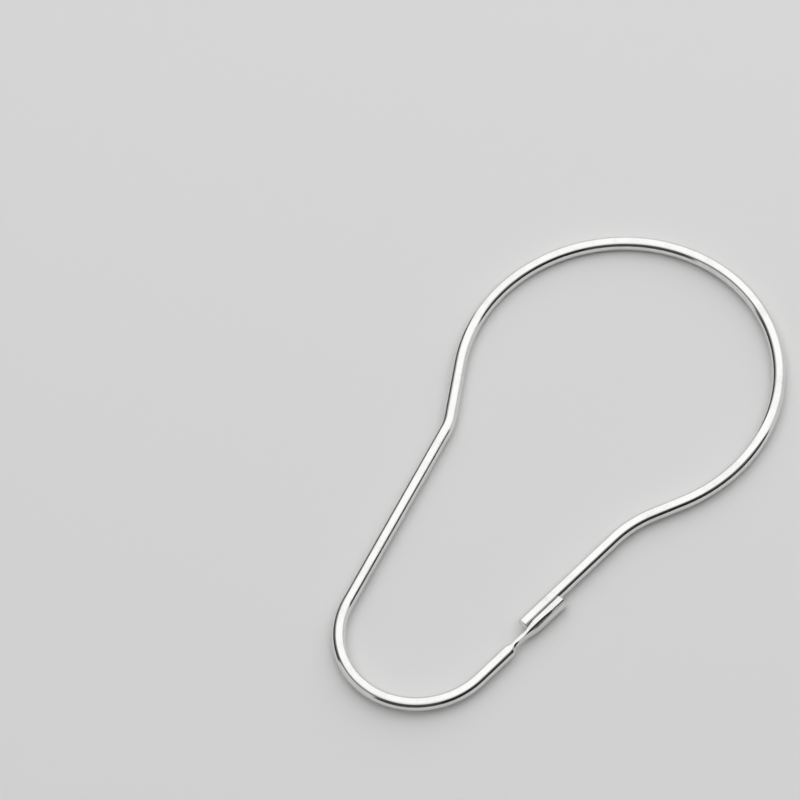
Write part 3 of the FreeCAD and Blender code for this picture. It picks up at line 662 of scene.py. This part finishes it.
class RingMesh:
    """A closed skin over rings of points, with each point's place in the unbent wire and its finish."""

    def __init__(self):
        self.points = []
        self.faces = []
        self.unbent = []
        self.pressed = []
        self.flat = []
        self.hollow = []

    def ring(self, centre, heading, outline, travel, flat=None, pressed=0.0, hollow=0.0):
        """Add a ring square to the direction of travel, and skin it to the ring before."""
        outward = Vector((math.sin(heading), -math.cos(heading)))
        first = len(self.points)
        for out, up in outline:
            place = centre + outward * out
            self.points.append((place.x, place.y, up))
            self.unbent.append((travel, out, up))
            self.pressed.append(pressed)
        self.flat.extend(flat or [0.0] * RING_POINTS)
        self.hollow.extend(hollow * part for part in HOLLOW)
        if first > 1:
            before = first - RING_POINTS
            for index in range(RING_POINTS):
                following = (index + 1) % RING_POINTS
                self.faces.append((before + index, first + index, first + following, before + following))

    def pole(self, centre, out, travel, pressed=0.0):
        """Add the middle point of an end."""
        self.points.append((centre.x, centre.y, 0.0))
        self.unbent.append((travel, out, 0.0))
        self.pressed.append(pressed)
        self.flat.append(0.0)
        self.hollow.append(0.0)
        return len(self.points) - 1

    def fan(self, pole, first, at_start):
        """Close the skin's start or end with triangles from its middle point to a ring."""
        for index in range(RING_POINTS):
            following = (index + 1) % RING_POINTS
            near, far = first + index, first + following
            self.faces.append((pole, near, far) if at_start else (pole, far, near))

    def build(self, name):
        """Make the mesh object."""
        mesh = bpy.data.meshes.new(name)
        mesh.from_pydata(self.points, [], self.faces)
        unbent = mesh.attributes.new("unbent", "FLOAT_VECTOR", "POINT")
        unbent.data.foreach_set("vector", [value for place in self.unbent for value in place])
        for label, values in (("pressed", self.pressed), ("flat", self.flat), ("hollow", self.hollow)):
            attribute = mesh.attributes.new(label, "FLOAT", "POINT")
            attribute.data.foreach_set("value", values)
        mesh.validate()
        mesh.shade_smooth()
        piece = bpy.data.objects.new(name, mesh)
        bpy.context.scene.collection.objects.link(piece)
        return piece


def skin_wire(wire, catch):
    """The whole hook as one closed skin."""
    derived = Derived(wire, catch)
    route = wire_route(wire, catch, derived)
    outline = round_outline(derived.wire_radius)
    skin = RingMesh()

    tip, heading = route[0]
    ahead = Vector((math.cos(heading), math.sin(heading)))
    pole = skin.pole(tip, 0.0, 0.0)
    ends = tip_rings(wire, derived)
    for distance, radius in ends:
        skin.ring(tip + ahead * distance, heading, round_outline(radius), distance)
    skin.fan(pole, 1, at_start=True)

    # The plain end has its own rings, so the route's places beside them are passed over.
    travel = 0.0
    last = tip
    for place, heading in route:
        travel += (place - last).length
        last = place
        if travel > ends[-1][0] + STRAIGHT_STEP / 4:
            skin.ring(place, heading, outline, travel)

    channel = ChannelOutline(catch, derived)
    heading = math.pi - wire.leg_angle
    travel += (leg_point(wire, catch.taper_start, wire.eyelet_loop_radius) - last).length
    for station, section, pressed, hollow in pressed_stations(catch, derived, channel, outline):
        place = leg_point(wire, station, wire.eyelet_loop_radius)
        section, flat = press_flats(section, station, catch)
        skin.ring(place, heading, section, travel + station - catch.taper_start, flat, pressed, hollow)
    last_ring = len(skin.points) - RING_POINTS
    on_back = channel.outline(catch.end_flat)[OUTER_POINTS // 2][0]
    in_trough = derived.trough_centre + derived.trough_radius
    middle = (on_back + in_trough) / 2
    end = leg_point(wire, catch.catch_end, wire.eyelet_loop_radius + middle)
    pole = skin.pole(end, middle, travel + catch.catch_end - catch.taper_start, 1.0)
    skin.fan(pole, last_ring, at_start=False)
    return skin


class Tree:
    """Short ways to add and join nodes of a material, a group or the world."""

    def __init__(self, nodes, links):
        self.nodes = nodes
        self.links = links

    def add(self, kind, **settings):
        """New node of a kind, with its settings."""
        node = self.nodes.new(kind)
        for name, value in settings.items():
            setattr(node, name, value)
        return node

    def feed(self, socket, source):
        """Set a socket to a value, or link it to another node's socket."""
        if isinstance(source, bpy.types.NodeSocket):
            self.links.new(source, socket)
        else:
            socket.default_value = source

    def maths(self, operation, first, second):
        """Result of one sum."""
        node = self.add("ShaderNodeMath", operation=operation)
        self.feed(node.inputs[0], first)
        self.feed(node.inputs[1], second)
        return node.outputs[0]

    def noise(self, vector, scale, detail, roughness=0.5):
        """Smooth noise about one half."""
        node = self.add("ShaderNodeTexNoise", noise_dimensions="3D")
        self.feed(node.inputs["Vector"], vector)
        self.feed(node.inputs["Scale"], scale)
        self.feed(node.inputs["Detail"], detail)
        self.feed(node.inputs["Roughness"], roughness)
        return node.outputs["Fac"]

    def stretch(self, vector, factors):
        """Coordinates scaled by a different factor along each axis."""
        node = self.add("ShaderNodeVectorMath", operation="MULTIPLY")
        self.feed(node.inputs[0], vector)
        node.inputs[1].default_value = factors
        return node.outputs[0]

    def range(self, value, low, high, to_low=0.0, to_high=1.0):
        """Value moved from one range to another, and kept inside it."""
        node = self.add("ShaderNodeMapRange", clamp=True)
        self.feed(node.inputs["Value"], value)
        self.feed(node.inputs["From Min"], low)
        self.feed(node.inputs["From Max"], high)
        self.feed(node.inputs["To Min"], to_low)
        self.feed(node.inputs["To Max"], to_high)
        return node.outputs["Result"]

    def blend(self, factor, first, second):
        """Colour between two others."""
        node = self.add("ShaderNodeMix", data_type="RGBA")
        self.feed(node.inputs["Factor"], factor)
        self.feed(node.inputs[6], first)
        self.feed(node.inputs[7], second)
        return node.outputs[2]


def new_group(name, inputs, outputs):
    """Empty shader group with named values going in and out."""
    group = bpy.data.node_groups.new(name, "ShaderNodeTree")
    for label, kind, default in inputs:
        socket = group.interface.new_socket(label, in_out="INPUT", socket_type=kind)
        if default is not None:
            socket.default_value = default
    for label, kind in outputs:
        group.interface.new_socket(label, in_out="OUTPUT", socket_type=kind)
    tree = Tree(group.nodes, group.links)
    return group, tree, tree.add("NodeGroupInput"), tree.add("NodeGroupOutput")


def drawn_lines_group():
    """Fine lines along the wire, as drawing through a die leaves them."""
    group, tree, given, result = new_group(
        "drawn_lines",
        [("Unbent", "NodeSocketVector", None), ("Across", "NodeSocketFloat", LINE_SCALE)],
        [("Height", "NodeSocketFloat"), ("Mask", "NodeSocketFloat")])
    long_lines = tree.stretch(given.outputs["Unbent"], LONG_LINES)
    short_lines = tree.stretch(given.outputs["Unbent"], SHORT_LINES)
    coarse = tree.noise(long_lines, given.outputs["Across"], detail=2.0)
    fine = tree.noise(short_lines, given.outputs["Across"], detail=3.0)
    by_coarse = tree.maths("MULTIPLY", coarse, LONG_LINE_SHARE)
    by_fine = tree.maths("MULTIPLY", fine, 1.0 - LONG_LINE_SHARE)
    tree.feed(result.inputs["Height"], tree.maths("ADD", by_coarse, by_fine))
    tree.feed(result.inputs["Mask"], tree.range(fine, *DULL_LINES))
    return group


def handling_group():
    """Faint dull patches where the plating was handled and rubbed."""
    group, tree, given, result = new_group(
        "handling_marks",
        [("Unbent", "NodeSocketVector", None), ("Patch", "NodeSocketFloat", PATCH_SCALE)],
        [("Mask", "NodeSocketFloat")])
    patches = tree.noise(given.outputs["Unbent"], given.outputs["Patch"], detail=4.0, roughness=0.6)
    specks = tree.noise(given.outputs["Unbent"], SPECK_SCALE, detail=2.0)
    speckled = tree.range(specks, *DULL_SPECKS, to_low=BETWEEN_SPECKS)
    mask = tree.maths("MULTIPLY", tree.range(patches, *DULL_PATCHES), speckled)
    tree.feed(result.inputs["Mask"], mask)
    return group


def use_group(tree, group, **values):
    """Place a group in a material, with its own values."""
    node = tree.add("ShaderNodeGroup", node_tree=group)
    for name, value in values.items():
        tree.feed(node.inputs[name], value)
    return node


def plated_wire(finish):
    """Bright plating over drawn wire, a little rougher and dented where the press worked it, with painted
    shade and a rougher finish inside the trough.
    """
    material = bpy.data.materials.new("plated_wire")
    material.use_nodes = True
    tree = Tree(material.node_tree.nodes, material.node_tree.links)
    shader = tree.nodes["Principled BSDF"]
    unbent = tree.add("ShaderNodeAttribute", attribute_name="unbent").outputs["Vector"]
    pressed = tree.add("ShaderNodeAttribute", attribute_name="pressed").outputs["Fac"]
    lines = use_group(tree, drawn_lines_group(), Unbent=unbent)
    marks = use_group(tree, handling_group(), Unbent=unbent)

    by_lines = tree.maths("MULTIPLY", lines.outputs["Mask"], LINE_DULLING)
    dull = tree.maths("ADD", marks.outputs["Mask"], by_lines)
    dull = tree.maths("ADD", dull, tree.maths("MULTIPLY", pressed, PRESS_DULLING))
    bright = (*finish.plating_colour, 1.0)
    faded = (*finish.dull_colour, 1.0)
    # Painted shade: inside the trough the plating's colour turns dark, for the shade where the channel
    # lies against the plain leg.
    hollow = tree.add("ShaderNodeAttribute", attribute_name="hollow").outputs["Fac"]
    plating = tree.blend(tree.range(dull, 0.0, COLOUR_DULLED), bright, faded)
    tree.feed(shader.inputs["Base Color"], tree.blend(hollow, plating, (*finish.hollow_colour, 1.0)))
    roughness = tree.range(dull, 0.0, ROUGHNESS_DULLED, finish.gloss_roughness, finish.dull_roughness)
    flat = tree.add("ShaderNodeAttribute", attribute_name="flat").outputs["Fac"]
    roughness = tree.range(flat, 0.0, 1.0, roughness, finish.flat_roughness)
    roughness = tree.range(hollow, 0.0, 1.0, roughness, finish.hollow_roughness)
    tree.feed(shader.inputs["Roughness"], roughness)
    shader.inputs["Metallic"].default_value = 1.0

    waves = tree.noise(unbent, WAVE_SCALE, detail=1.0)
    dents = tree.noise(tree.stretch(unbent, DENT_STRETCH), DENT_SCALE, detail=2.0)
    height = tree.maths("MULTIPLY", lines.outputs["Height"], finish.line_height)
    height = tree.maths("ADD", height, tree.maths("MULTIPLY", waves, finish.wave_height))
    dent_height = tree.maths("MULTIPLY", tree.maths("MULTIPLY", dents, pressed), finish.press_height)
    height = tree.maths("ADD", height, dent_height)
    grain = tree.noise(tree.stretch(unbent, GRAIN_STRETCH), GRAIN_SCALE, detail=2.0)
    grain_height = tree.maths("MULTIPLY", tree.maths("MULTIPLY", grain, flat), finish.flat_grain)
    height = tree.maths("ADD", height, grain_height)
    bump = tree.add("ShaderNodeBump")
    bump.inputs["Strength"].default_value = 1.0
    bump.inputs["Distance"].default_value = 1.0
    tree.feed(bump.inputs["Height"], height)
    tree.feed(shader.inputs["Normal"], bump.outputs["Normal"])
    return material


def flat_material(name, shade, roughness):
    """Plain matt material for the set."""
    material = bpy.data.materials.new(name)
    material.use_nodes = True
    shader = material.node_tree.nodes["Principled BSDF"]
    shader.inputs["Base Color"].default_value = (*shade, 1.0)
    shader.inputs["Roughness"].default_value = roughness
    shader.inputs["Specular IOR Level"].default_value = SET_SPECULAR
    return material


def link_mesh(name, points, faces, material):
    """Object of the set from points and faces."""
    mesh = bpy.data.meshes.new(name)
    mesh.from_pydata(points, [], faces)
    mesh.materials.append(material)
    item = bpy.data.objects.new(name, mesh)
    bpy.context.scene.collection.objects.link(item)
    return item


def resting_plane(piece, wire):
    """Point and upward direction of the surface that the hook comes to rest on.

    The hook lies on the catch's lower lip and on the large loop, with the middle of its weight
    straight above the line between the two.
    """
    points = [vertex.co for vertex in piece.data.vertices]
    lip = min(points, key=lambda point: point.z)
    starts = range(1, len(points) - 1, RING_POINTS)
    centres = [sum(points[start:start + RING_POINTS], Vector()) / RING_POINTS for start in starts]
    lengths = [(after - before).length for before, after in zip(centres, centres[1:])]
    middle = sum((centre * run for centre, run in zip(centres, lengths)), Vector()) / sum(lengths)

    foot = Vector((lip.x, lip.y))
    toward = Vector((middle.x - lip.x, middle.y - lip.y)).normalized()
    beside = foot.x * toward.y - foot.y * toward.x
    heel = foot + toward * (math.sqrt(wire.rail_loop_radius ** 2 - beside ** 2) - foot.dot(toward))
    outward = heel.normalized()
    slope = (-wire.wire_diameter / 2 - lip.z) / (heel - foot).dot(outward)
    return lip, Vector((-slope * outward.x, -slope * outward.y, 1.0)).normalized()


def make_floor(stage, piece, wire):
    """Pale floor that the hook rests on."""
    touch_point, upward = resting_plane(piece, wire)
    half = stage.floor_size / 2
    floor = link_mesh(
        "floor", [(-half, -half, 0.0), (half, -half, 0.0), (half, half, 0.0), (-half, half, 0.0)],
        [(0, 1, 2, 3)], flat_material("floor", stage.floor_colour, FLOOR_ROUGHNESS))
    turn = upward.to_track_quat("Z", "Y").to_matrix().to_4x4()
    floor.matrix_world = Matrix.Translation(touch_point) @ turn


def make_cards(stage):
    """Cards that stand or hang round the set, which the bright wire mirrors as its dark lines."""
    for name, first, last, low, high, shade in CARDS:
        sides = max(2, math.ceil((last - first) / CARD_STEP))
        points = []
        for index in range(sides + 1):
            turn = math.radians(first + (last - first) * index / sides)
            place = on_circle(Vector((0.0, 0.0)), stage.card_distance, turn)
            for rise in (low, high):
                points.append((place.x, place.y, stage.card_distance * math.tan(math.radians(rise))))
        faces = [(2 * index, 2 * index + 2, 2 * index + 3, 2 * index + 1) for index in range(sides)]
        card = link_mesh(name, points, faces, flat_material(name, (shade, shade, shade), CARD_ROUGHNESS))
        card.visible_camera = False


def make_softbox(stage, middle):
    """Large round softbox over the hook, in layers, so that its light fades on the camera's side."""
    lean = Vector((math.cos(stage.lamp_direction), math.sin(stage.lamp_direction), 0.0))
    for number, (tilt, spread, part) in enumerate(SOFTBOX_LAYERS, start=1):
        away = lean * math.sin(math.radians(tilt)) + Vector((0.0, 0.0, math.cos(math.radians(tilt))))
        lamp = bpy.data.lights.new("softbox_%d" % number, "AREA")
        lamp.shape = "DISK"
        lamp.size = 2 * stage.lamp_distance * math.tan(math.radians(spread))
        lamp.energy = stage.lamp_power * part * math.pi * (lamp.size / 2) ** 2
        item = bpy.data.objects.new("softbox_%d" % number, lamp)
        item.location = middle + away * stage.lamp_distance
        item.rotation_mode = "QUATERNION"
        item.rotation_quaternion = away.to_track_quat("Z", "Y")
        item.visible_camera = False
        bpy.context.scene.collection.objects.link(item)


def make_backdrop(stage):
    """Pale surroundings beyond the floor."""
    world = bpy.data.worlds.new("backdrop")
    world.use_nodes = True
    background = world.node_tree.nodes["Background"]
    background.inputs["Color"].default_value = (*stage.backdrop_colour, 1.0)
    background.inputs["Strength"].default_value = 1.0
    bpy.context.scene.world = world


def make_camera(stage):
    """Camera at the photograph's viewing angle."""
    azimuth, elevation = stage.view_azimuth, stage.view_elevation
    back = Vector((
        math.sin(azimuth) * math.cos(elevation),
        -math.cos(azimuth) * math.cos(elevation),
        math.sin(elevation)))
    camera = bpy.data.cameras.new("camera")
    camera.sensor_width = SENSOR_WIDTH
    camera.lens = stage.view_lens
    camera.clip_start = stage.view_distance / CLIP_RATIO
    camera.clip_end = stage.view_distance * CLIP_RATIO
    item = bpy.data.objects.new("camera", camera)
    item.location = Vector(stage.view_aim) + back * stage.view_distance
    item.rotation_mode = "QUATERNION"
    roll = Quaternion((0.0, 0.0, 1.0), stage.view_roll)
    item.rotation_quaternion = (-back).to_track_quat("-Z", "Y") @ roll
    bpy.context.scene.collection.objects.link(item)
    bpy.context.scene.camera = item


class CURTAINHOOK_OT_wire(bpy.types.Operator):
    """Make the hook, one bent wire with its pressed catch"""

    bl_idname = "curtainhook.wire"
    bl_label = "Bent wire with its catch"

    def execute(self, context):
        scene = context.scene
        piece = skin_wire(scene.hook_wire_sizes, scene.hook_catch_sizes).build("bent_spring_wire")
        piece.data.materials.append(plated_wire(scene.hook_finish))
        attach(piece, BODY)
        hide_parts(CAD_NODE)
        return {"FINISHED"}


class CURTAINHOOK_OT_stage(bpy.types.Operator):
    """Make the floor, the light and the camera"""

    bl_idname = "curtainhook.stage"
    bl_label = "Floor, light and camera"

    def execute(self, context):
        stage = context.scene.hook_stage
        piece = bpy.data.objects["bent_spring_wire"]
        low, high = cad_box
        make_floor(stage, piece, context.scene.hook_wire_sizes)
        make_cards(stage)
        make_softbox(stage, (low + high) / 2)
        make_backdrop(stage)
        make_camera(stage)
        context.scene.view_settings.view_transform = "Standard"
        return {"FINISHED"}


class CURTAINHOOK_PT_panel(bpy.types.Panel):
    """Sizes, colours and pieces of the curtain hook"""

    bl_idname = "CURTAINHOOK_PT_panel"
    bl_label = "Curtain Hook"
    bl_space_type = "VIEW_3D"
    bl_region_type = "UI"
    bl_category = "Curtain Hook"

    def draw(self, context):
        for operator, _ in STEPS:
            self.layout.operator(operator)
        for name, group in GROUPS:
            box = self.layout.box()
            box.label(text=group.__doc__)
            settings = getattr(context.scene, name)
            for key in group.__annotations__:
                box.prop(settings, key)


GROUPS = [
    ("hook_wire_sizes", WireSizes),
    ("hook_catch_sizes", CatchSizes),
    ("hook_finish", PlatingFinish),
    ("hook_stage", StageSettings),
]

# Each operator, in the order that they run in.
STEPS = [
    (CURTAINHOOK_OT_wire.bl_idname, bpy.ops.curtainhook.wire),
    (CURTAINHOOK_OT_stage.bl_idname, bpy.ops.curtainhook.stage),
]

OPERATORS = [CURTAINHOOK_OT_wire, CURTAINHOOK_OT_stage]


def register():
    for name, group in GROUPS:
        bpy.utils.register_class(group)
        setattr(bpy.types.Scene, name, PointerProperty(type=group))
    for operator in OPERATORS:
        bpy.utils.register_class(operator)
    bpy.utils.register_class(CURTAINHOOK_PT_panel)


def unregister():
    bpy.utils.unregister_class(CURTAINHOOK_PT_panel)
    for operator in reversed(OPERATORS):
        bpy.utils.unregister_class(operator)
    for name, group in reversed(GROUPS):
        delattr(bpy.types.Scene, name)
        bpy.utils.unregister_class(group)


def main():
    """Make everything."""
    register()
    for _, run in STEPS:
        run()


if __name__ == "__main__":
    main()
